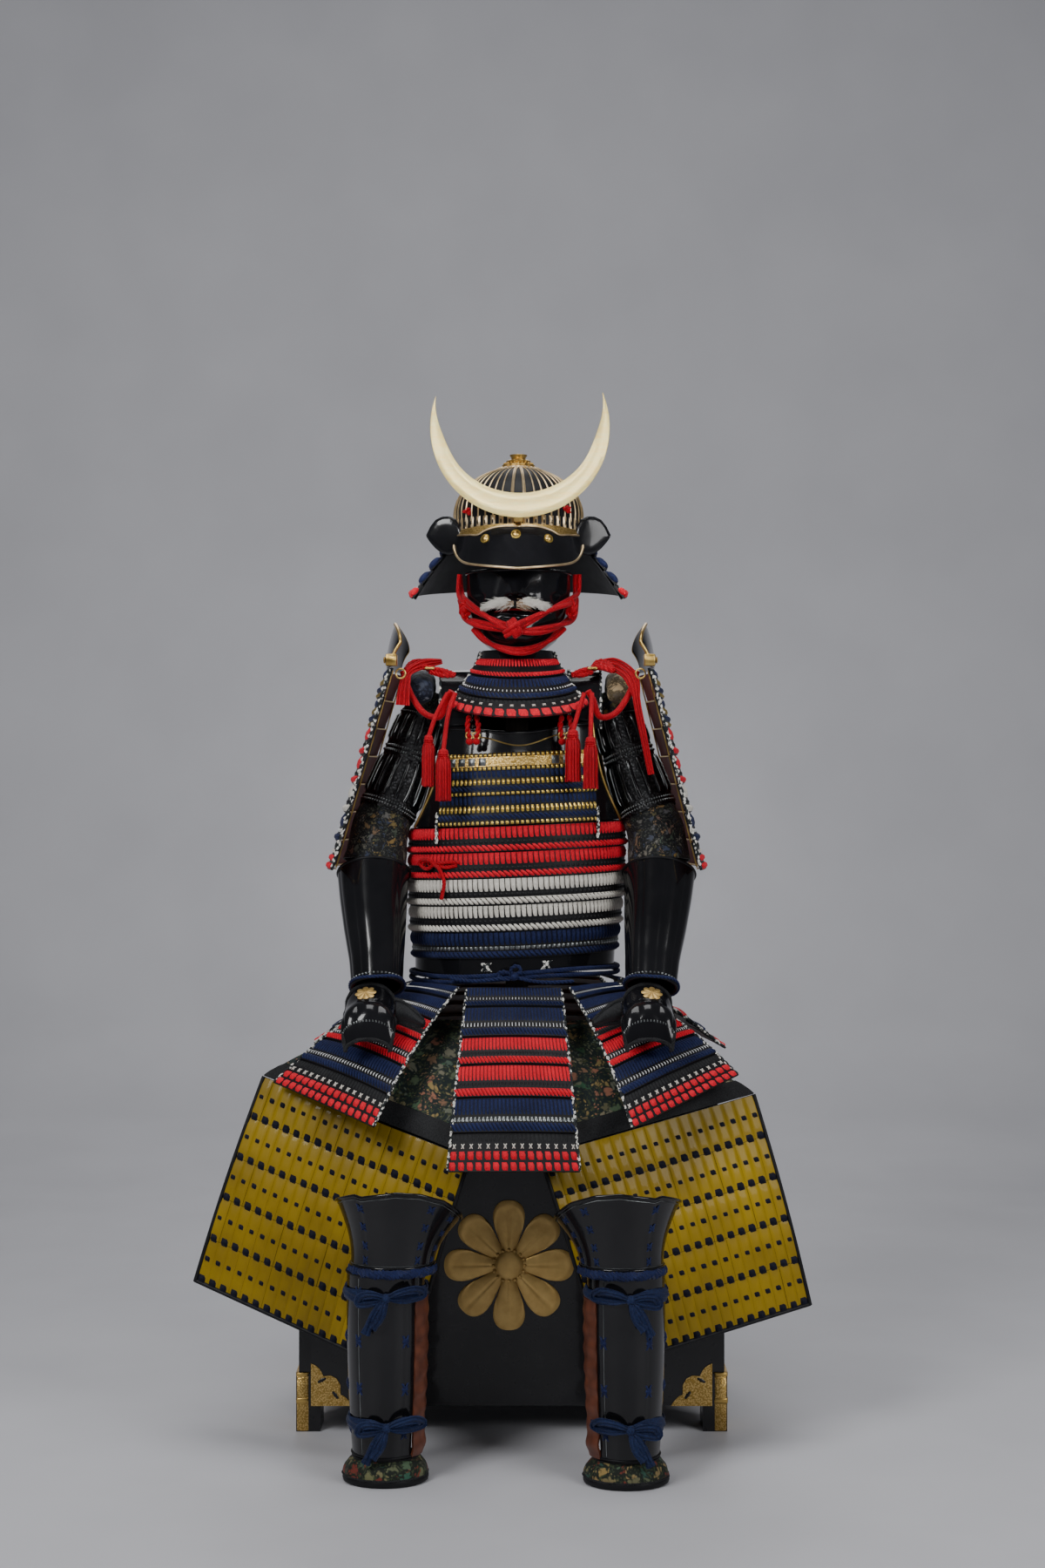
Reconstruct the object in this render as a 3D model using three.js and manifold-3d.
// A full samurai armour, filled out in its seated pose on its own armour chest.
//
// Millimetres. +Z is up, the armour faces -Y, and +X is the wearer's left. Every piece is made about
// the torso's upright axis, and the last lines set the whole on the middle of its footprint.
// Worn pieces are walls of 2 to 4 mm with their necks, hems, cuffs and armholes open. A wooden stand
// inside the cuirass carries the helmet, the mask and the shoulder straps.

import * as THREE from "three";
import { mergeVertices } from "three/addons/utils/BufferGeometryUtils.js";
import Module from "manifold-3d";

const wasm = await Module();
wasm.setup();

// ---------------------------------------------------------------- driving dimensions

const CLEAR = 0.4; // gap between two pieces that touch
const SET_ON_MIDDLE = { x: 13.5, y: 51 }; // from the torso's axis to the middle of the footprint
const RIGHT = -1; // the wearer's right, at -X
const LEFT = 1;

const CHEST = {
  halfWidth: 312, front: -122, back: 318, base: 48, bodyTop: 534, wall: 14,
  lidTop: 548, lidBottom: 486, lidWall: 7, lidGap: 1,
};
const CHEST_FOOT = { under: 12, out: 22, shoeOut: 26, depth: 64, shoeTop: 90, top: 470, inset: 30 };
const CORNER_PLATE = { width: 64, height: 66, thick: 1.5 };
const ROSETTE = { x: -4, z: 267, radius: 101, petals: 8, boss: 22, thick: 2.5 };
const STAND = {
  x: 8, y: 8, post: 36, barHalfLength: 100, barZ: 1162, barHeight: 24, baseHalf: 90, baseHeight: 14,
  headRadius: 44, headBase: 1398, headTop: 1496,
};

// The torso leans a little to the wearer's left, and the cuirass hangs higher on that side.
const lean = (z) => 4 + 0.02 * (z - 700);
const SLOPE = 0.04;

// The trunk of the cuirass, from the waist up: its oval section at each height.
const TORSO = [
  { z: 712, halfWidth: 157, halfDepth: 114 },
  { z: 741, halfWidth: 160, halfDepth: 116 },
  { z: 780, halfWidth: 166, halfDepth: 126 },
  { z: 860, halfWidth: 172, halfDepth: 132 },
  { z: 951, halfWidth: 172, halfDepth: 130 },
  { z: 1060, halfWidth: 167, halfDepth: 118 },
  { z: 1125, halfWidth: 158, halfDepth: 104 },
];
const TRUNK = { bottom: 718, top: 951, lames: 5, thick: 4, lift: 3.5 };
const CHEST_PLATE = { bottom: 953, top: 1107, halfAngle: 45, flare: 24, lames: 3, neckDip: 12 };
const BACK_PLATE = { bottom: 953, top: 1152, halfAngle: 49, flare: 20, lames: 3, neckDip: 10 };
const STRAP = { x: 102, width: 50, thick: 4, top: 1197 };
const WAIST_CORD = { z: 715, radius: 4.5, halfHeight: 10, out: 9 };

// Tassets: the four corners of each laced skirt panel. belly is how far its middle stands out.
const TASSET = { lames: 5, thick: 4, lift: 3.5 };
const TASSETS = [
  {
    name: "tasset_front", belly: 16,
    topA: [-69, -127, 698], topB: [77, -127, 698], bottomA: [-94, -302, 439], bottomB: [102, -302, 439],
  },
  {
    name: "tasset_lap_right", belly: 24,
    topA: [-152, -60, 700], topB: [-79, -118, 698], bottomA: [-364, -168, 553], bottomB: [-203, -296, 503],
  },
  {
    name: "tasset_lap_left", belly: 24,
    topA: [87, -118, 698], topB: [160, -60, 700], bottomA: [179, -300, 502], bottomB: [347, -170, 565],
  },
  {
    name: "tasset_side_right", belly: 12,
    topA: [-136, 62, 696], topB: [-160, -40, 695], bottomA: [-296, 150, 596], bottomB: [-308, -92, 606],
  },
  {
    name: "tasset_side_left", belly: 12,
    topA: [168, -40, 704], topB: [145, 62, 704], bottomA: [334, -92, 598], bottomB: [318, 150, 590],
  },
  {
    name: "tasset_back_right", belly: 14,
    topA: [-8, 124, 701], topB: [-132, 74, 696], bottomA: [-12, 322, 590], bottomB: [-224, 262, 590],
  },
  {
    name: "tasset_back_left", belly: 14,
    topA: [132, 74, 704], topB: [8, 124, 704], bottomA: [224, 262, 590], bottomB: [12, 322, 590],
  },
];

// Thigh guards: a brocade apron over each thigh, and a panel of small plates hung from its hem.
const THIGH = {
  thick: 3, apronBelly: 26, panelBelly: 14,
  rows: [0, 0.08, 0.17, 0.26, 0.35, 0.43, 0.499, 0.57, 0.66, 0.75, 0.84, 0.92, 1],
};
const THIGHS = [
  {
    side: "right",
    waistInner: [-10, -106, 640], waistOuter: [-150, -50, 640],
    hemInner: [-61, -266, 456], hemOuter: [-384, -130, 561],
    lowInner: [-156, -272, 129], lowOuter: [-485, -172, 252],
  },
  {
    side: "left",
    waistInner: [16, -106, 640], waistOuter: [156, -50, 640],
    hemInner: [42, -266, 459], hemOuter: [375, -134, 534],
    lowInner: [138, -276, 143], lowOuter: [458, -172, 216],
  },
];

// Arms: stations from the shoulder to the wrist, named for the right arm and mirrored for the left.
const UPPER_SLEEVE = [
  { out: 146, y: 0, z: 1160, radius: 32 },
  { out: 156, y: -6, z: 1120, radius: 34 },
  { out: 176, y: -14, z: 1060, radius: 39 },
  { out: 199, y: -24, z: 995, radius: 43 },
  { out: 219, y: -36, z: 940, radius: 45 },
  { out: 226, y: -46, z: 888, radius: 50 },
];
const SHOULDER_ROLL = { x: 157, halfWidth: 20, halfHeight: 15 };
const FOREARM = [
  { out: 226, y: -54, z: 874, radius: 57 },
  { out: 224, y: -76, z: 838, radius: 53 },
  { out: 219, y: -106, z: 790, radius: 48 },
  { out: 214, y: -134, z: 744, radius: 42 },
  { out: 211, y: -158, z: 702, radius: 39 },
];
const SLEEVE_THICK = 2.5;
const FOREARM_THICK = 3;
const HAND = {
  x: -4, out: 212, backY: -172, frontY: -250, wristZ: 690, tipZ: 640, halfWidth: 43, thick: 3, rise: 30,
};

// Shoulder guards: laced boards hung from the shoulders.
const BOARD = {
  topOut: 201, bottomOut: 286, top: 1196, bottom: 880, front: -126, back: 134, bulge: 14,
  lames: 6, thick: 4, lift: 3.5, crownHeight: 72, crownIn: 14, crownThick: 3.5,
};
const HINGE = { width: 18, depth: 26, height: 18 };
// The flat cord that hangs from each board's ring.
const RIBBON_WIDTH = 22;

// Legs: the knee guard, shin guard and shoe of each leg stand on their own centre.
const LEGS = [
  { side: "right", x: -183, y: -340, kneeShift: 19 },
  { side: "left", x: 168, y: -352, kneeShift: -12 },
];
const SHIN = {
  bottom: 40, top: 306, bottomRadius: 49, topRadius: 57, thick: 3, outerAngle: 108, innerAngle: 126,
};
const KNEE = { bottom: 314, top: 428, bottomRadius: 61, topRadius: 86, thick: 3, halfAngle: 100, lobe: 8 };
const SHOE = { halfWidth: 63, halfLength: 52, sole: 9, top: 36, mouth: 0.76, thick: 3, frontReach: 4 };
const TIE = { radius: 5, upperZ: 276, lowerZ: 88, gap: 1 };

// Head: the helmet and the mask share one centre, a little to the wearer's left.
const HEAD_X = 10.5;
const BOWL = {
  halfWidth: 103, halfDepth: 113, centreZ: 1444, height: 79, rim: 1409, thick: 3, hole: 15,
};
const PEAK = {
  topAngle: 71, bottomAngle: 66, top: 1421, bottom: 1348, cornerRise: 40, reach: 34, thick: 3,
};
const CRESCENT = { outer: 139, inner: 131, rise: 30, centreZ: 1566.5, y: -139, thick: 2, lean: 1.4 };
const NECK_GUARD = {
  topZ: 1400, bottomZ: 1316, tilt: 0.14, topHalfWidth: 107, topHalfDepth: 118, cornerFlare: 12,
  bottomHalfWidth: 170, bottomHalfDepth: 176, topAngle: 75, bottomAngle: 66, lames: 4, thick: 3, lift: 3.5,
};
const TURNBACK = { x: 104, y: -54, z: 1408, thick: 3, turn: 14 };
// The mask's face: its oval at each height, with its own centre line at MASK.y.
const MASK = { y: -14, thick: 3, halfAngle: 84 };
const MASK_OVALS = [
  { z: 1226, halfWidth: 40, halfDepth: 84 },
  { z: 1242, halfWidth: 60, halfDepth: 94 },
  { z: 1270, halfWidth: 76, halfDepth: 98 },
  { z: 1305, halfWidth: 83, halfDepth: 97 },
  { z: 1350, halfWidth: 84, halfDepth: 92 },
];
const CHIN_CORD = { radius: 7, off: 10 };
const THROAT = {
  x: 9, topZ: 1226, bottomZ: 1116, sideRise: 28, topHalfWidth: 58, bottomHalfWidth: 113,
  topDepth: 50, bottomDepth: 100, topY: -36, bottomY: -68, halfAngle: 78, lames: 3, thick: 4, lift: 3.5,
};
const SHOULDER_CORD = { radius: 5, leanZ: 1140, strandRadius: 4, tasselLength: 72 };
// Tassels: neckZ is the foot of the wrapped neck, and start is where its strand leaves the cord's end.
const TASSELS = [
  { name: "tassel_right_outer", side: RIGHT, x: -128, y: -148, neckZ: 1082, radius: 10.5, start: -6 },
  { name: "tassel_right_inner", side: RIGHT, x: -105, y: -157, neckZ: 1060, radius: 12, start: 6 },
  { name: "tassel_left_inner", side: LEFT, x: 95, y: -148, neckZ: 1090, radius: 12.5, start: -6 },
  { name: "tassel_left_outer", side: LEFT, x: 122, y: -156, neckZ: 1079, radius: 12, start: 6 },
];

// ---------------------------------------------------------------- materials

const paint = (color, roughness, metalness = 0) => (
  new THREE.MeshStandardMaterial({ color, roughness, metalness })
);
const BLACK_LACQUER = paint(0x07070a, 0.12);
const GILT = paint(0xb08a3c, 0.35, 1);
const GOLD_LEAF = paint(0xe2c67a, 0.32, 1);
const YELLOW_PLATE = paint(0xa88612, 0.5, 0.4);
const RED_SILK = paint(0xc3122a, 0.7);
const NAVY_SILK = paint(0x16224a, 0.75);
const LACING = paint(0x8d1c33, 0.75);
const BROCADE = paint(0x2f3a2c, 0.8);
const WHITE_HAIR = paint(0xd8d2c6, 0.9);
const STAND_WOOD = paint(0x241c17, 0.6);

// ---------------------------------------------------------------- solids

const v3 = (x, y, z) => new THREE.Vector3(x, y, z);
const mix = THREE.MathUtils.lerp;
const radians = THREE.MathUtils.degToRad;
const bell = (x, width) => Math.exp(-((x / width) ** 2));

// Reads a table at z between its rows, which run upwards or downwards.
function at(table, z) {
  const up = table[0].z < table[table.length - 1].z;
  const rows = up ? table : [...table].reverse();
  let i = rows.findIndex((row) => row.z > z);
  if (i < 0) i = rows.length - 1;
  i = Math.max(i, 1);
  const [low, high] = [rows[i - 1], rows[i]];
  const share = THREE.MathUtils.clamp((z - low.z) / (high.z - low.z), 0, 1);
  return Object.fromEntries(Object.keys(low).map((key) => [key, mix(low[key], high[key], share)]));
}

// A closed body from points and triangles, turned to face out.
function body(points, triangles) {
  let volume = 0;
  for (const [a, b, c] of triangles) volume += points[a].dot(points[b].clone().cross(points[c]));
  const faces = volume < 0 ? triangles.map(([a, b, c]) => [a, c, b]) : triangles;
  return new THREE.BufferGeometry().setFromPoints(points).setIndex(faces.flat());
}

// The unit normal of a surface face(u, t), on its left-hand side going along u and then t.
function normalOf(face, u, t) {
  const step = 1e-3;
  const along = face(u + step, t).sub(face(u - step, t));
  const down = face(u, t + step).sub(face(u, t - step));
  return along.cross(down).normalize();
}

// A wall whose outer face is face(u, t), with u and t from 0 to 1. Each row says where along t it lies,
// and how far it is lifted off that face. turned is -1 where the face's normal points inwards.
function wall(face, { columns, rows, thick, ring = false, turned = 1 }) {
  const count = ring ? columns : columns + 1;
  const outer = [];
  const inner = [];
  for (const { t, lift = 0 } of rows) {
    for (let c = 0; c < count; c++) {
      const n = normalOf(face, c / columns, t).multiplyScalar(turned);
      outer.push(face(c / columns, t).addScaledVector(n, lift));
      inner.push(face(c / columns, t).addScaledVector(n, lift - thick));
    }
  }
  const inside = outer.length;
  const triangles = [];
  const quad = (a, b, c, d) => triangles.push([a, b, c], [a, c, d]);
  const last = rows.length - 1;
  for (let r = 0; r <= last; r++) {
    for (let c = 0; c < columns; c++) {
      const a = r * count + c;
      const b = r * count + ((c + 1) % count);
      if (r < last) quad(a, b, b + count, a + count);
      if (r < last) quad(inside + a, inside + a + count, inside + b + count, inside + b);
      if (r === 0) quad(a, inside + a, inside + b, b);
      if (r === last) quad(a, b, inside + b, inside + a);
    }
  }
  if (!ring) {
    for (let r = 0; r < last; r++) {
      const a = r * count;
      const b = a + columns;
      quad(a, a + count, inside + a + count, inside + a);
      quad(b, inside + b, inside + b + count, b + count);
    }
  }
  return body([...outer, ...inner], triangles);
}

// Even rows, for a plain wall.
const plainRows = (count) => Array.from({ length: count + 1 }, (_, i) => ({ t: i / count }));

// Two rows a lame, so that each lame stands out at its lower edge and the next starts behind it.
function lameRows(lames, lift, from = 0, to = 1) {
  const rows = [];
  for (let i = 0; i < lames; i++) {
    rows.push({ t: mix(from, to, i / lames), lift: 0 });
    rows.push({ t: mix(from, to, (i + 0.9) / lames), lift });
  }
  rows.push({ t: to, lift: lift * 0.6 });
  return rows;
}

// A solid through rings of points, closed into a loop or capped at its ends.
function loft(rings, loop = false) {
  const size = rings[0].length;
  const triangles = [];
  const spans = loop ? rings.length : rings.length - 1;
  for (let r = 0; r < spans; r++) {
    const next = ((r + 1) % rings.length) * size;
    for (let c = 0; c < size; c++) {
      const d = (c + 1) % size;
      triangles.push([r * size + c, r * size + d, next + d], [r * size + c, next + d, next + c]);
    }
  }
  const end = (rings.length - 1) * size;
  for (let c = 1; c < size - 1 && !loop; c++) {
    triangles.push([0, c + 1, c], [end, end + c, end + c + 1]);
  }
  return body(rings.flat(), triangles);
}

// An open tube along a smooth line.
function cordAlong(points, radius, steps, sides) {
  const section = new THREE.Shape();
  for (let i = 0; i < sides; i++) {
    const a = (i / sides) * 2 * Math.PI;
    section[i ? "lineTo" : "moveTo"](radius * Math.cos(a), radius * Math.sin(a));
  }
  const extrudePath = new THREE.CatmullRomCurve3(points);
  return new THREE.ExtrudeGeometry(section, { steps, bevelEnabled: false, extrudePath });
}

// A hoop of cord: centre(angle) is its centreline and outward(angle) the way out from its middle.
function hoop(centre, outward, { radius, height = radius, count = 24, sides = 6 }) {
  const rings = [];
  for (let i = 0; i < count; i++) {
    const angle = (i / count) * 2 * Math.PI;
    const out = outward(angle).normalize();
    rings.push(Array.from({ length: sides }, (_, k) => {
      const a = (k / sides) * 2 * Math.PI;
      return centre(angle).addScaledVector(out, radius * Math.cos(a)).add(v3(0, 0, height * Math.sin(a)));
    }));
  }
  return loft(rings, true);
}

// manifold-3d joins and cuts.
function toManifold(geometry) {
  const bare = (geometry.index ? geometry.toNonIndexed() : geometry.clone());
  bare.deleteAttribute("normal");
  bare.deleteAttribute("uv");
  const merged = mergeVertices(bare, 1e-3);
  return new wasm.Manifold(new wasm.Mesh({
    numProp: 3,
    vertProperties: merged.attributes.position.array,
    triVerts: new Uint32Array(merged.index.array),
  }));
}

function fromManifold(solid) {
  const mesh = solid.getMesh();
  const geometry = new THREE.BufferGeometry();
  geometry.setAttribute("position", new THREE.BufferAttribute(mesh.vertProperties, 3));
  return geometry.setIndex(new THREE.BufferAttribute(mesh.triVerts, 1));
}

const join = (...parts) => fromManifold(parts.map(toManifold).reduce((a, b) => a.add(b)));

// A box from its lowest to its highest corner.
function block([x0, y0, z0], [x1, y1, z1]) {
  const box = new THREE.BoxGeometry(x1 - x0, y1 - y0, z1 - z0);
  return box.translate((x0 + x1) / 2, (y0 + y1) / 2, (z0 + z1) / 2);
}

// A turned piece about a line parallel to Z. profile lists [radius, z], from the axis to the axis.
function turned(profile, x, y, segments = 16) {
  const points = profile.map(([radius, z]) => new THREE.Vector2(radius, z));
  return new THREE.LatheGeometry(points, segments).rotateX(Math.PI / 2).translate(x, y, 0);
}

// ---------------------------------------------------------------- the assembly

const armour = new THREE.Group();

function add(name, geometry, material) {
  const mesh = new THREE.Mesh(geometry, material);
  mesh.name = name;
  armour.add(mesh);
}

// ---------------------------------------------------------------- the chest and the stand

function rectangularTube(halfWidth, front, back, low, high, thick) {
  const corners = (inset) => [[-1, front + inset], [1, front + inset], [1, back - inset], [-1, back - inset]]
    .map(([side, y]) => new THREE.Vector2(side * (halfWidth - inset), y));
  const shape = new THREE.Shape(corners(0));
  shape.holes.push(new THREE.Path(corners(thick).reverse()));
  return new THREE.ExtrudeGeometry(shape, { depth: high - low, bevelEnabled: false }).translate(0, 0, low);
}

// A leg: a rail down the side of the chest, ending in a foot that is notched under its floor.
function chestLeg(side, y) {
  const { halfWidth, base } = CHEST;
  const { under, out, shoeOut, depth, shoeTop, top } = CHEST_FOOT;
  const bar = (near, far, low, high, grow = 0) => block(
    [Math.min(side * near, side * far), y - grow, low],
    [Math.max(side * near, side * far), y + depth + grow, high],
  );
  return [
    bar(halfWidth - under, halfWidth + shoeOut, 0, base + 0.5),
    bar(halfWidth - 1, halfWidth + shoeOut, base, shoeTop, 0),
    bar(halfWidth - 1, halfWidth + out, shoeTop - 1, top, -4),
  ];
}

function chestBody() {
  const { halfWidth, front, back, base, bodyTop, wall: thick } = CHEST;
  const { inset, depth } = CHEST_FOOT;
  const legPlaces = [front + inset, back - inset - depth];
  const legs = [RIGHT, LEFT].flatMap((side) => legPlaces.flatMap((y) => chestLeg(side, y)));
  return join(
    rectangularTube(halfWidth, front, back, base, bodyTop, thick),
    block([-halfWidth, front, base], [halfWidth, back, base + thick]),
    ...legs,
  );
}

function chestLid() {
  const { halfWidth, front, back, bodyTop, lidTop, lidBottom, lidWall, lidGap } = CHEST;
  const grow = lidWall + lidGap;
  return join(
    rectangularTube(halfWidth + grow, front - grow, back + grow, lidBottom, lidTop, lidWall),
    block(
      [-halfWidth - grow, front - grow, bodyTop + CLEAR],
      [halfWidth + grow, back + grow, lidTop],
    ),
  );
}

// A gilt plate on each lower corner of the front, its free edge cut in three curls like a cloud.
function cornerPlate(side) {
  const { halfWidth, front, base } = CHEST;
  const { width, height, thick } = CORNER_PLATE;
  const shape = new THREE.Shape();
  shape.moveTo(0, 0);
  shape.lineTo(width, 0);
  shape.quadraticCurveTo(width * 0.86, height * 0.24, width * 0.72, height * 0.26);
  shape.bezierCurveTo(width * 0.78, height * 0.62, width * 0.54, height * 0.78, width * 0.3, height * 0.7);
  shape.quadraticCurveTo(width * 0.22, height * 0.94, 0, height);
  const plate = new THREE.ExtrudeGeometry(shape, { depth: thick, bevelEnabled: false, curveSegments: 4 });
  plate.rotateX(Math.PI / 2);
  if (side === LEFT) plate.rotateZ(Math.PI).translate(0, -thick, 0);
  return plate.translate(side * halfWidth, front - CLEAR, base);
}

// A plain eight-petalled rosette on the front of the chest.
function rosette() {
  const { x, z, radius, petals, boss, thick } = ROSETTE;
  const shape = new THREE.Shape();
  const point = (share, angle) => [radius * share * Math.sin(angle), radius * share * Math.cos(angle)];
  const step = (2 * Math.PI) / petals;
  for (let i = 0; i < petals; i++) {
    const a = i * step;
    if (i === 0) shape.moveTo(...point(boss / radius, a - step / 2));
    shape.bezierCurveTo(...point(0.62, a - step * 0.52), ...point(0.92, a - step * 0.36), ...point(1, a));
    const foot = point(boss / radius, a + step / 2);
    shape.bezierCurveTo(...point(0.92, a + step * 0.36), ...point(0.62, a + step * 0.52), ...foot);
  }
  const plate = new THREE.ExtrudeGeometry(shape, { depth: thick, bevelEnabled: false, curveSegments: 5 });
  return plate.rotateX(Math.PI / 2).translate(x, CHEST.front - CLEAR, z);
}

function displayStand() {
  const { x, y, post, barHalfLength, barZ, barHeight, baseHalf, baseHeight } = STAND;
  const { headRadius, headBase, headTop } = STAND;
  const foot = CHEST.lidTop + CLEAR;
  const half = post / 2;
  return join(
    block([x - baseHalf, y - baseHalf, foot], [x + baseHalf, y + baseHalf, foot + baseHeight]),
    block([x - half, y - half, foot + 1], [x + half, y + half, headBase + 10]),
    block([x - barHalfLength, y - half, barZ], [x + barHalfLength, y + half, barZ + barHeight]),
    turned([
      [0, headBase], [headRadius * 0.7, headBase], [headRadius, headBase + 26],
      [headRadius, headTop - 36], [headRadius * 0.62, headTop - 8], [0, headTop],
    ], x, y, 12),
  );
}

add("chest_body", chestBody(), BLACK_LACQUER);
add("chest_lid", chestLid(), BLACK_LACQUER);
add("chest_corner_right", cornerPlate(RIGHT), GILT);
add("chest_corner_left", cornerPlate(LEFT), GILT);
add("chest_rosette", rosette(), GILT);
add("display_stand", displayStand(), STAND_WOOD);

// ---------------------------------------------------------------- the cuirass

// The torso's face at a height, with the angle counted from the front towards the wearer's left.
function torsoPoint(degrees, z, out = 0) {
  const { halfWidth, halfDepth } = at(TORSO, z);
  const a = radians(degrees);
  const across = (halfWidth + out) * Math.sin(a);
  return v3(lean(z) + across, -(halfDepth + out) * Math.cos(a), z + SLOPE * across);
}

function trunk() {
  const { bottom, top, lames, thick, lift } = TRUNK;
  const face = (u, t) => torsoPoint(360 * u, mix(top, bottom, t));
  return wall(face, { columns: 20, rows: lameRows(lames, lift), thick, ring: true, turned: -1 });
}

// Half of the upper cuirass: its neck edge dips in the middle, and its armholes flare out below.
function upperPlate({ bottom, top, halfAngle, flare, lames, neckDip }, middle, columns) {
  const face = (u, t) => {
    const across = 2 * u - 1;
    const edge = halfAngle + flare * Math.max(t, 0) ** 2.5;
    const crown = top - neckDip * bell(across, 0.6);
    return torsoPoint(middle + edge * across, mix(crown, bottom, t), 2);
  };
  const rows = [{ t: 0 }, ...lameRows(lames, TRUNK.lift, 0.27, 1)];
  return wall(face, { columns, rows, thick: TRUNK.thick, turned: -1 });
}

// A strap over the shoulder, between the top edges of the chest plate and the back plate.
function shoulderStrap(side) {
  const { x, width, thick, top } = STRAP;
  const line = new THREE.CatmullRomCurve3([
    v3(0, -64, 1100), v3(0, -66, 1138), v3(0, -44, top - 8), v3(0, 2, top), v3(0, 42, top - 10),
    v3(0, 60, 1142), v3(0, 58, 1106),
  ]);
  const face = (u, t) => line.getPoint(THREE.MathUtils.clamp(t, 0, 1))
    .add(v3(lean(top) + side * x + (u - 0.5) * width, 0, 0));
  const rows = plainRows(9).map(({ t }) => ({ t: mix(0.01, 0.99, t) }));
  return wall(face, { columns: 1, rows, thick });
}

function waistCord() {
  const { z, radius, halfHeight, out } = WAIST_CORD;
  const centre = (a) => torsoPoint(THREE.MathUtils.radToDeg(a), z, out);
  const outward = (a) => v3(Math.sin(a), -Math.cos(a), 0);
  const ring = hoop(centre, outward, { radius, height: halfHeight, count: 20, sides: 6 });
  const knot = block([-18, centre(0).y - 15, z - 10], [20, centre(0).y + 1, z + 12]);
  return join(ring, knot);
}

add("cuirass_trunk", trunk(), LACING);
add("chest_plate", upperPlate(CHEST_PLATE, 0, 10), LACING);
add("back_plate", upperPlate(BACK_PLATE, 180, 8), LACING);
for (const side of [RIGHT, LEFT]) {
  const hand = side === RIGHT ? "right" : "left";
  add(`shoulder_strap_${hand}`, shoulderStrap(side), BLACK_LACQUER);
}
add("waist_cord", waistCord(), NAVY_SILK);

// ---------------------------------------------------------------- tassets and thigh guards

// A four-cornered panel that bellies out in its middle.
function panelFace(topA, topB, bottomA, bottomB, belly) {
  const [a, b, c, d] = [topA, topB, bottomA, bottomB].map((p) => v3(...p));
  const out = b.clone().sub(a).cross(c.clone().sub(a)).normalize().negate();
  return (u, t) => {
    const p = a.clone().lerp(b, u).lerp(c.clone().lerp(d, u), t);
    const swell = belly * Math.sin(Math.PI * Math.min(t * 0.9 + 0.05, 1)) * (1 - 0.35 * (2 * u - 1) ** 2);
    return p.addScaledVector(out, swell);
  };
}

for (const { name, belly, topA, topB, bottomA, bottomB } of TASSETS) {
  const face = panelFace(topA, topB, bottomA, bottomB, belly);
  add(name, wall(face, {
    columns: 4, rows: lameRows(TASSET.lames, TASSET.lift), thick: TASSET.thick, turned: -1,
  }), LACING);
}

// A thigh guard is one piece: the apron from the waist to the hem, then the panel of plates.
for (const { side, waistInner, waistOuter, hemInner, hemOuter, lowInner, lowOuter } of THIGHS) {
  const order = (a, b) => (side === "right" ? [b, a] : [a, b]);
  const apron = panelFace(...order(waistInner, waistOuter), ...order(hemInner, hemOuter), THIGH.apronBelly);
  const panel = panelFace(...order(hemInner, hemOuter), ...order(lowInner, lowOuter), THIGH.panelBelly);
  const face = (u, t) => (t < 0.5 ? apron(u, 2 * t) : panel(u, 2 * t - 1));
  add(`thigh_guard_${side}`, wall(face, {
    columns: 7, rows: THIGH.rows.map((t) => ({ t })), thick: THIGH.thick, turned: -1,
  }), YELLOW_PLATE);
}

// ---------------------------------------------------------------- sleeves and hand guards

// A tube of cloth or plates through a table of stations, open at both ends.
function sleeveTube(stations, side, thick, columns, flatten = 1) {
  const centres = stations.map((s) => v3(lean(s.z) + side * s.out, s.y, s.z));
  const line = new THREE.CatmullRomCurve3(centres);
  const face = (u, t) => {
    const share = THREE.MathUtils.clamp(t, 0, 1) * (stations.length - 1);
    const i = Math.min(Math.floor(share), stations.length - 2);
    const radius = mix(stations[i].radius, stations[i + 1].radius, share - i);
    const p = line.getPoint(THREE.MathUtils.clamp(t, 0, 1));
    const down = line.getTangent(THREE.MathUtils.clamp(t, 0, 1));
    const across = v3(1, 0, 0).addScaledVector(down, -down.x).normalize();
    const deep = down.clone().cross(across);
    const a = 2 * Math.PI * u;
    p.addScaledVector(across, radius * Math.cos(a));
    return p.addScaledVector(deep, flatten * radius * Math.sin(a));
  };
  const rows = plainRows(stations.length).map(({ t }) => ({ t: mix(0.002, 0.998, t) }));
  return wall(face, { columns, rows, thick, ring: true, turned: 1 });
}

// The padded roll of brocade at the sleeve's head, lying over the shoulder from front to back.
function shoulderRoll(side) {
  const { x, halfWidth, halfHeight } = SHOULDER_ROLL;
  const line = new THREE.CatmullRomCurve3([
    v3(0, -74, 1146), v3(0, -58, 1166), v3(0, -20, 1180), v3(0, 24, 1178), v3(0, 58, 1150),
  ]);
  const rings = [0, 0.2, 0.42, 0.66, 1].map((t) => {
    const p = line.getPoint(t);
    const up = line.getTangent(t).cross(v3(-1, 0, 0));
    return Array.from({ length: 8 }, (_, k) => {
      const a = (k / 8) * 2 * Math.PI;
      const middle = lean(p.z) + side * x;
      return v3(middle + halfWidth * Math.cos(a), p.y, p.z).addScaledVector(up, halfHeight * Math.sin(a));
    });
  });
  return loft(rings);
}

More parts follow.
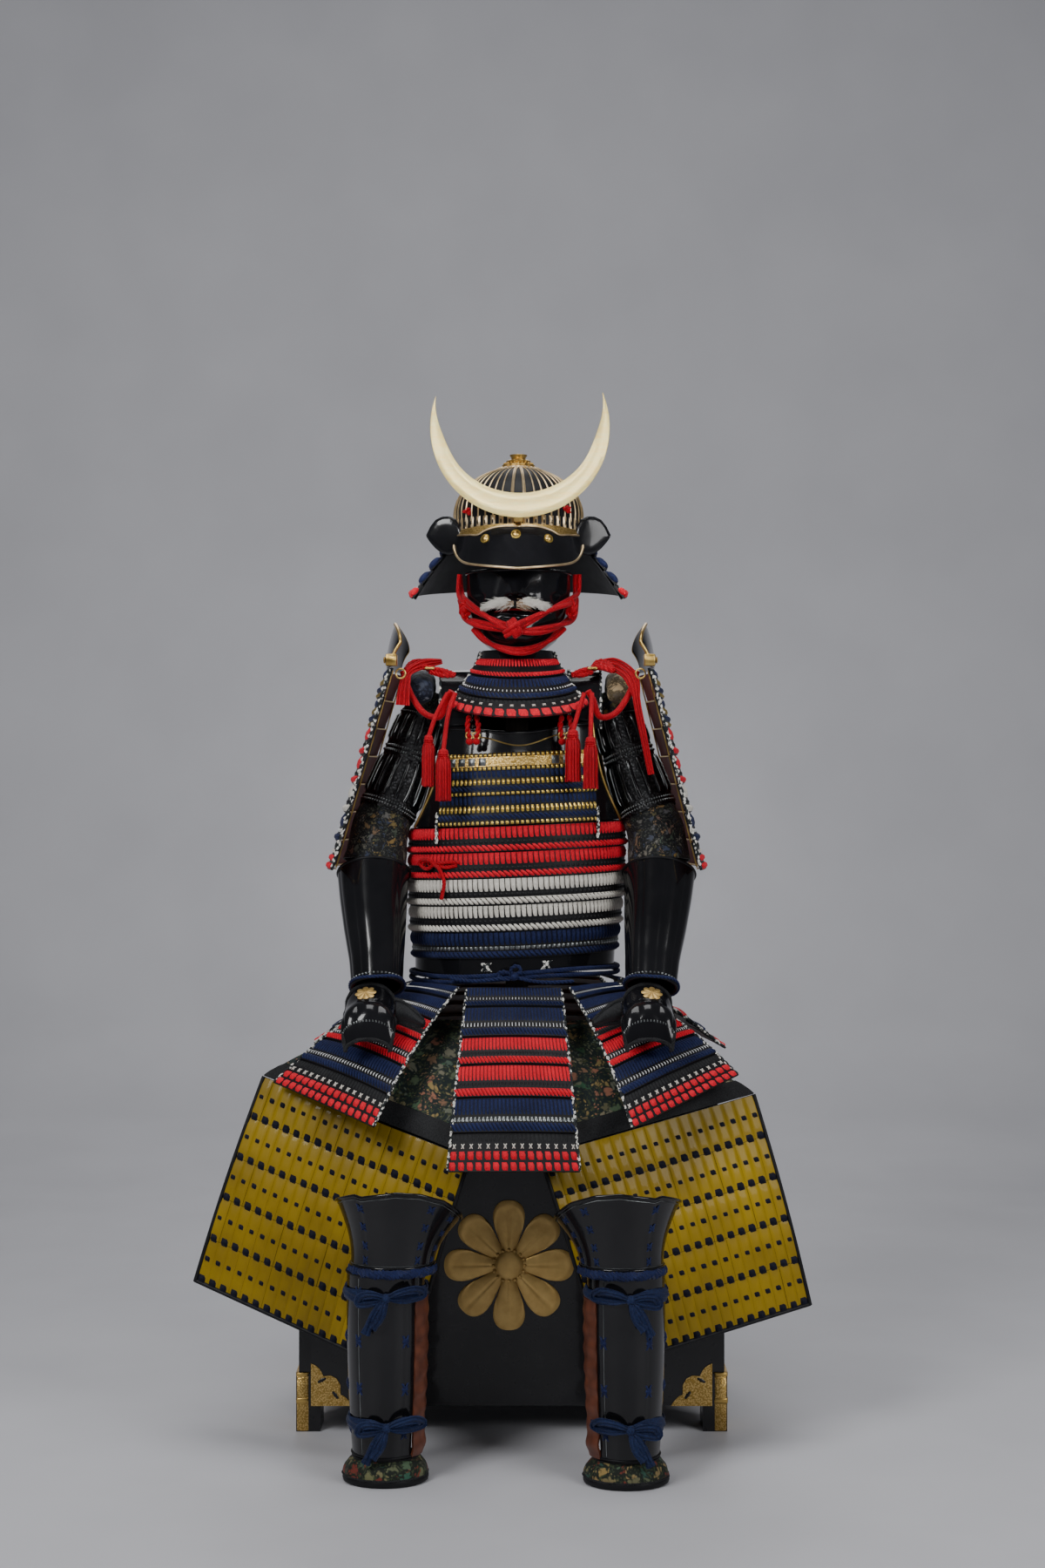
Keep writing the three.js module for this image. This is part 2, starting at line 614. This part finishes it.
// A lacquered cap over the back of the hand, open below and at both ends.
function handGuard(side) {
  const { x, out, backY, frontY, wristZ, tipZ, halfWidth, thick, rise } = HAND;
  const face = (u, t) => {
    const a = radians(mix(-96, 96, u));
    const width = halfWidth * (1 - 0.16 * (1 - t)) * (1 - 0.22 * t ** 4);
    const crown = rise * (1 - 0.45 * t ** 3);
    const y = mix(backY, frontY, t);
    const knuckles = 8 * bell(t - 0.62, 0.2);
    const z = mix(wristZ, tipZ, t) - 12 + crown * Math.cos(a) + knuckles;
    return v3(x + side * out + width * Math.sin(a), y, z);
  };
  return wall(face, { columns: 10, rows: plainRows(5), thick, turned: -1 });
}

for (const side of [RIGHT, LEFT]) {
  const hand = side === RIGHT ? "right" : "left";
  const sleeve = sleeveTube(UPPER_SLEEVE, side, SLEEVE_THICK, 12);
  add(`upper_sleeve_${hand}`, join(sleeve, shoulderRoll(side)), BROCADE);
  add(`forearm_guard_${hand}`, sleeveTube(FOREARM, side, FOREARM_THICK, 12, 0.92), BLACK_LACQUER);
  add(`hand_guard_${hand}`, handGuard(side), BLACK_LACQUER);
}

// ---------------------------------------------------------------- shoulder guards

function shoulderBoard(side) {
  const { topOut, bottomOut, top, bottom, front, back, bulge, lames, thick, lift } = BOARD;
  const face = (u, t) => {
    const across = 2 * u - 1;
    const x = mix(topOut, bottomOut, t) + bulge * (1 - across ** 2);
    const z = mix(top, bottom, t);
    return v3(lean(z) + side * x, mix(front, back, u), z);
  };
  return wall(face, { columns: 6, rows: lameRows(lames, lift), thick, turned: -side });
}

// The board's crown plate: it stands above the board with a round outline, leaning in at its top.
function crownPlate(side) {
  const { topOut, top, front, back, bulge, crownHeight, crownIn, crownThick } = BOARD;
  const face = (u, t) => {
    const across = 2 * u - 1;
    const height = crownHeight * (0.5 + 0.5 * Math.sqrt(Math.max(0, 1 - across ** 2)));
    const x = topOut + bulge * (1 - across ** 2) - crownIn * (1 - t) ** 2;
    return v3(lean(top) + side * x, mix(front + 6, back - 6, u), mix(top + 3 + height, top + 3, t));
  };
  const plate = wall(face, { columns: 8, rows: plainRows(3), thick: crownThick, turned: -side });
  const corner = v3(lean(top) + side * topOut, front, top + 3);
  const { width, depth, height } = HINGE;
  const hinge = block(
    [corner.x - width / 2, corner.y - 2, corner.z],
    [corner.x + width / 2, corner.y + depth, corner.z + height],
  );
  return join(plate, hinge);
}

for (const side of [RIGHT, LEFT]) {
  const hand = side === RIGHT ? "right" : "left";
  add(`shoulder_board_${hand}`, shoulderBoard(side), LACING);
  add(`board_crown_${hand}`, crownPlate(side), BLACK_LACQUER);
}

// ---------------------------------------------------------------- legs

// A point round a leg's centre, with the angle counted from the front towards the wearer's left.
const round = ({ x, y }, degrees, radius, z, deep = 1) => {
  const a = radians(degrees);
  return v3(x + radius * Math.sin(a), y - deep * radius * Math.cos(a), z);
};

function shinGuard(leg) {
  const { bottom, top, bottomRadius, topRadius, thick, outerAngle, innerAngle } = SHIN;
  const [from, to] = leg.side === "right" ? [-outerAngle, innerAngle] : [-innerAngle, outerAngle];
  const face = (u, t) => {
    const radius = mix(topRadius, bottomRadius, t) + 3 * Math.sin(Math.PI * t);
    return round(leg, mix(from, to, u), radius, mix(top, bottom, t));
  };
  return wall(face, { columns: 12, rows: plainRows(4), thick, turned: -1 });
}

function kneeGuard(leg) {
  const { bottom, top, bottomRadius, topRadius, thick, halfAngle, lobe } = KNEE;
  const face = (u, t) => {
    const centre = { x: leg.x + leg.kneeShift * (1 - 0.5 * t), y: leg.y };
    const angle = mix(-halfAngle, halfAngle, u);
    const crest = top - lobe * Math.abs(Math.sin(radians(1.35 * angle)));
    const radius = mix(topRadius, bottomRadius, Math.sin((Math.PI / 2) * THREE.MathUtils.clamp(t, 0, 1)));
    return round(centre, angle, radius, mix(crest, bottom, t), 0.88);
  };
  return wall(face, { columns: 12, rows: plainRows(4), thick, turned: -1 });
}

// A soft shoe: a flat sole, and an upper that closes in to a round mouth.
function shoe(leg) {
  const { halfWidth, halfLength, sole, top, mouth, thick, frontReach } = SHOE;
  const oval = (share, z, out = 0) => Array.from({ length: 16 }, (_, i) => {
    const a = (i / 16) * 2 * Math.PI;
    return v3(
      leg.x + (halfWidth * share + out) * Math.sin(a),
      leg.y - frontReach - (halfLength * share + out) * Math.cos(a),
      z,
    );
  });
  const instep = mix(sole, top, 0.5);
  const outerRings = [oval(0.97, 0), oval(1, sole), oval(0.93, instep), oval(mouth, top)];
  const innerRings = [oval(mouth, top, -thick), oval(0.93, instep, -thick), oval(0.93, sole, -thick)];
  return loft([...outerRings, ...innerRings]);
}

// A cloth tie round the shin, with its knot at the front.
function shinTie(leg, z) {
  const share = (SHIN.top - z) / (SHIN.top - SHIN.bottom);
  const radius = mix(SHIN.topRadius, SHIN.bottomRadius, share) + 3 * Math.sin(Math.PI * share);
  const centre = (a) => round(leg, THREE.MathUtils.radToDeg(a), radius + TIE.gap + TIE.radius * 0.7, z);
  const outward = (a) => round({ x: 0, y: 0 }, THREE.MathUtils.radToDeg(a), 1, 0);
  return hoop(centre, outward, { radius: TIE.radius * 0.6, height: TIE.radius * 1.8, count: 14, sides: 4 });
}

for (const leg of LEGS) {
  add(`knee_guard_${leg.side}`, kneeGuard(leg), BLACK_LACQUER);
  add(`shin_guard_${leg.side}`, shinGuard(leg), BLACK_LACQUER);
  add(`shoe_${leg.side}`, shoe(leg), BROCADE);
  add(`shin_tie_upper_${leg.side}`, shinTie(leg, TIE.upperZ), NAVY_SILK);
  add(`shin_tie_lower_${leg.side}`, shinTie(leg, TIE.lowerZ), NAVY_SILK);
}

// ---------------------------------------------------------------- helmet

const ovalPoint = (degrees, halfWidth, halfDepth, z, y = 0) => {
  const a = radians(degrees);
  return v3(HEAD_X + halfWidth * Math.sin(a), y - halfDepth * Math.cos(a), z);
};

function bowl() {
  const { halfWidth, halfDepth, centreZ, height, rim, thick, hole } = BOWL;
  const topRise = 90 - THREE.MathUtils.radToDeg(hole / halfWidth);
  const face = (u, t) => {
    const rise = radians(topRise * (1 - t / 0.8));
    const share = t < 0.8 ? Math.cos(rise) : 1;
    const z = t < 0.8 ? centreZ + height * Math.sin(rise) : mix(centreZ, rim, (t - 0.8) / 0.2);
    return ovalPoint(360 * u, halfWidth * share, halfDepth * share, z);
  };
  const rows = [0, 0.13, 0.26, 0.4, 0.54, 0.68, 0.799, 1].map((t) => ({ t }));
  return wall(face, { columns: 20, rows, thick, ring: true, turned: -1 });
}

// Three stacked rings round the opening at the top of the bowl.
function finial() {
  const foot = BOWL.centreZ + BOWL.height + CLEAR;
  const profile = [
    [9, foot], [27, foot], [26, foot + 4], [18, foot + 6], [19, foot + 11],
    [11, foot + 13], [14, foot + 20], [9, foot + 20], [9, foot],
  ];
  return turned(profile, HEAD_X, 0, 12);
}

// The peak: wide at the temples, with its lower edge rising into a round corner at each side.
function peak() {
  const { topAngle, bottomAngle, top, bottom, cornerRise, reach, thick } = PEAK;
  const face = (u, t) => {
    const across = 2 * u - 1;
    const out = 3 + reach * Math.max(t, 0) ** 0.8;
    const low = bottom + cornerRise * across ** 6;
    const high = top - 7 * across ** 2;
    const angle = mix(topAngle, bottomAngle, t) * across;
    return ovalPoint(angle, BOWL.halfWidth + 3 + 0.16 * out, BOWL.halfDepth + out, mix(high, low, t));
  };
  return wall(face, { columns: 12, rows: plainRows(3), thick, turned: -1 });
}

// The crescent crest, cut from a flat sheet, with the prong that holds it on the peak.
function crescent() {
  const { outer, inner, rise, centreZ, y, thick, lean } = CRESCENT;
  // the two circles meet at the tips
  const meet = (outer ** 2 - inner ** 2 + rise ** 2) / (2 * rise);
  const tipOuter = Math.asin(meet / outer);
  const tipInner = Math.asin((meet - rise) / inner);
  const shape = new THREE.Shape();
  shape.absarc(0, 0, outer, tipOuter, Math.PI - tipOuter, true);
  shape.absarc(0, rise, inner, Math.PI - tipInner, tipInner, false);
  const sheet = new THREE.ExtrudeGeometry(shape, { depth: thick, bevelEnabled: false, curveSegments: 16 });
  sheet.rotateX(Math.PI / 2).rotateY(radians(-lean)).translate(HEAD_X, y, centreZ);
  const low = centreZ - outer;
  const prong = block([HEAD_X - 7, y - 0.5, low - 6], [HEAD_X + 7, y + 6, low + 26]);
  // its foot reaches back over the peak's edge to the bowl
  const foot = block([HEAD_X - 5, y + 5, low - 6], [HEAD_X + 5, -BOWL.halfDepth - CLEAR, low + 2]);
  return join(sheet, prong, foot);
}

function neckGuard() {
  const g = NECK_GUARD;
  const face = (u, t) => {
    const front = mix(g.topAngle, g.bottomAngle, t);
    const angle = mix(front, 360 - front, u);
    const halfDepth = mix(g.topHalfDepth, g.bottomHalfDepth, t);
    const halfWidth = mix(g.topHalfWidth, g.bottomHalfWidth, t) + g.cornerFlare * t * (2 * u - 1) ** 8;
    const p = ovalPoint(angle, halfWidth, halfDepth, mix(g.topZ, g.bottomZ, t));
    return p.setZ(p.z + g.tilt * t * p.y);
  };
  return wall(face, { columns: 16, rows: lameRows(g.lames, g.lift), thick: g.thick, turned: -1 });
}

// The ear-shaped plate turned back at each end of the neck guard.
function turnback(side) {
  const { x, y, z, thick, turn } = TURNBACK;
  const shape = new THREE.Shape();
  shape.moveTo(0, -22);
  shape.quadraticCurveTo(10, -32, 24, -27);
  shape.quadraticCurveTo(36, -16, 45, 8);
  shape.quadraticCurveTo(34, 30, 19, 31);
  shape.quadraticCurveTo(8, 24, 0, 10);
  const plate = new THREE.ExtrudeGeometry(shape, { depth: thick, bevelEnabled: false, curveSegments: 3 });
  plate.rotateX(Math.PI / 2);
  if (side === RIGHT) plate.rotateZ(Math.PI).translate(0, -thick, 0);
  plate.rotateZ(radians(side * turn));
  return plate.translate(HEAD_X + side * x, y, z);
}

add("helmet_bowl", bowl(), GILT);
add("helmet_finial", finial(), GILT);
add("helmet_peak", peak(), BLACK_LACQUER);
add("crescent_crest", crescent(), GOLD_LEAF);
add("neck_guard", neckGuard(), LACING);
add("turnback_right", turnback(RIGHT), BLACK_LACQUER);
add("turnback_left", turnback(LEFT), BLACK_LACQUER);

// ---------------------------------------------------------------- mask, chin cord and throat guard

// How far the mask's features stand out of its oval, for a point at x and z.
function features(x, z) {
  const nose = z > 1312 ? 24 * Math.max(0, 1 - (z - 1316) / 40) : 24 * bell(z - 1312, 6);
  const noseWidth = z > 1312 ? mix(15, 8, Math.min((z - 1312) / 40, 1)) : 15;
  const cheek = 6 * bell(Math.abs(x) - 42, 18) * bell(z - 1308, 20);
  const lips = -8 * bell(z - 1279, 9) * bell(x, 34);
  const chin = 9 * bell(z - 1246, 14) * bell(x, 26);
  return nose * bell(x, noseWidth) + cheek + lips + chin;
}

function maskPoint(degrees, z, out = 0) {
  const { halfWidth, halfDepth } = at(MASK_OVALS, z);
  const x = halfWidth * Math.sin(radians(degrees));
  const bump = Math.abs(degrees) < 80 ? features(x, z) : 0;
  return ovalPoint(degrees, halfWidth + out, halfDepth + bump + out, z, MASK.y);
}

function mask() {
  const [low, high] = [MASK_OVALS[0].z, MASK_OVALS[MASK_OVALS.length - 1].z];
  const face = (u, t) => maskPoint(MASK.halfAngle * (2 * u - 1), mix(high, low, t));
  return wall(face, { columns: 16, rows: plainRows(12), thick: MASK.thick, turned: -1 });
}

// Two tufts that meet under the nose.
function moustache() {
  const rings = [];
  for (let i = 0; i <= 10; i++) {
    const across = i / 5 - 1;
    const x = 55 * across;
    const z = 1297 + 5 * bell(Math.abs(across) - 0.5, 0.3) - 5 * across ** 2;
    const { halfWidth, halfDepth } = at(MASK_OVALS, z);
    const y = MASK.y - (halfDepth + 12) * Math.sqrt(1 - (x / (halfWidth + 12)) ** 2) - 7;
    const fat = 4 + 7 * Math.sqrt(Math.max(0, 1 - across ** 2));
    rings.push(Array.from({ length: 6 }, (_, k) => {
      const a = (k / 6) * 2 * Math.PI;
      return v3(HEAD_X + x, y + 0.55 * fat * Math.cos(a), z + fat * Math.sin(a));
    }));
  }
  return loft(rings);
}

// The chin cord: it leaves the helmet at both temples, and three strands cross the chin to one knot.
function chinCord() {
  const { radius, off } = CHIN_CORD;
  const on = ([degrees, z, extra = 0]) => maskPoint(degrees, z, off + extra);
  const upper = [[-88, 1350], [-87, 1322], [-70, 1306, 2], [-38, 1282, 4], [-12, 1264, 4], [0, 1260, 5],
    [12, 1264, 4], [38, 1282, 4], [70, 1306, 2], [87, 1322], [88, 1350]];
  const middle = [[-84, 1310], [-72, 1276], [-44, 1256, 2], [-14, 1250, 4], [0, 1252, 5], [14, 1250, 4],
    [44, 1258, 2], [72, 1280], [84, 1312]];
  const lower = [[-62, 1258], [-52, 1236], [-26, 1226, 3], [0, 1222, 5], [26, 1226, 3], [52, 1236],
    [62, 1258]];
  const strands = [upper, middle, lower].map((strand) => cordAlong(strand.map(on), radius, 16, 5));
  const knot = new THREE.SphereGeometry(13, 8, 5).scale(1.4, 0.9, 0.9);
  const heart = maskPoint(0, 1258, off + 8);
  return join(...strands, knot.translate(heart.x, heart.y, heart.z));
}

function throatGuard() {
  const g = THROAT;
  const face = (u, t) => {
    const a = radians(g.halfAngle * (2 * u - 1));
    const bulge = Math.max(t, 0) ** 1.4;
    const z = mix(g.topZ, g.bottomZ, t) + g.sideRise * t * (1 - Math.cos(a));
    return v3(
      g.x + mix(g.topHalfWidth, g.bottomHalfWidth, bulge) * Math.sin(a),
      mix(g.topY, g.bottomY, bulge) - mix(g.topDepth, g.bottomDepth, bulge) * Math.cos(a),
      z,
    );
  };
  const rows = [{ t: 0 }, ...lameRows(g.lames, g.lift, 0.16, 1)];
  return wall(face, { columns: 10, rows, thick: g.thick, turned: -1 });
}

add("face_mask", mask(), BLACK_LACQUER);
add("moustache", moustache(), WHITE_HAIR);
add("chin_cord", chinCord(), RED_SILK);
add("throat_guard", throatGuard(), LACING);

// ---------------------------------------------------------------- red cords

// Each shoulder's cord: it leaves the board's ring, loops under the shoulder roll, and ends at the toggle
// on the strap, out from the lean of the torso.
const shoulderKnot = (side) => v3(lean(SHOULDER_CORD.leanZ) + side * 106, -122, 1160);

function shoulderCord(side) {
  const { radius, leanZ } = SHOULDER_CORD;
  const route = [
    [184, -88, 1192], [169, -96, 1152], [147, -104, 1124], [125, -110, 1120], [114, -118, 1146],
  ];
  const line = route.map(([out, y, z]) => v3(lean(leanZ) + side * out, y, z));
  return cordAlong([...line, shoulderKnot(side)], radius, 14, 8);
}

// A tassel with its strand, hung in front of the chest plate from the cord's end.
function tassel(side, { x, y, neckZ, radius, start }) {
  const { strandRadius, tasselLength } = SHOULDER_CORD;
  const from = shoulderKnot(side).add(v3(start, -12, -4));
  const bend = v3(mix(from.x, x, 0.6), mix(from.y, y, 0.5), 1122);
  const strand = cordAlong([from, bend, v3(x, y, neckZ - 4)], strandRadius, 6, 8);
  const skirt = turned([
    [0, neckZ - tasselLength], [radius, neckZ - tasselLength], [radius * 0.85, neckZ - 10],
    [radius * 0.6, neckZ - 2], [radius * 0.6, neckZ + 5], [0, neckZ + 9],
  ], x, y, 10);
  return join(strand, skirt);
}

// The flat cord over each shoulder, hanging in front of the sleeve.
function ribbon(line) {
  const curve = new THREE.CatmullRomCurve3(line.map((p) => v3(...p)));
  const face = (u, t) => {
    const share = THREE.MathUtils.clamp(t, 0, 1);
    const along = curve.getTangent(share);
    const across = v3(-along.z, 0, along.x).normalize();
    return curve.getPoint(share).addScaledVector(across, (u - 0.5) * RIBBON_WIDTH);
  };
  return wall(face, { columns: 1, rows: plainRows(9), thick: 4 });
}

add("shoulder_cord_right", shoulderCord(RIGHT), RED_SILK);
add("shoulder_cord_left", shoulderCord(LEFT), RED_SILK);
for (const { name, side, ...hung } of TASSELS) add(name, tassel(side, hung), RED_SILK);
add("shoulder_ribbon_right", ribbon([
  [-112, -40, 1210], [-140, -66, 1204], [-163, -96, 1188], [-168, -108, 1164], [-170, -110, 1138],
]), RED_SILK);
add("shoulder_ribbon_left", ribbon([
  [136, -40, 1208], [168, -78, 1200], [188, -100, 1180], [198, -108, 1130], [208, -108, 1080],
  [218, -104, 1030],
]), RED_SILK);

armour.position.set(SET_ON_MIDDLE.x, SET_ON_MIDDLE.y, 0);

export default armour;
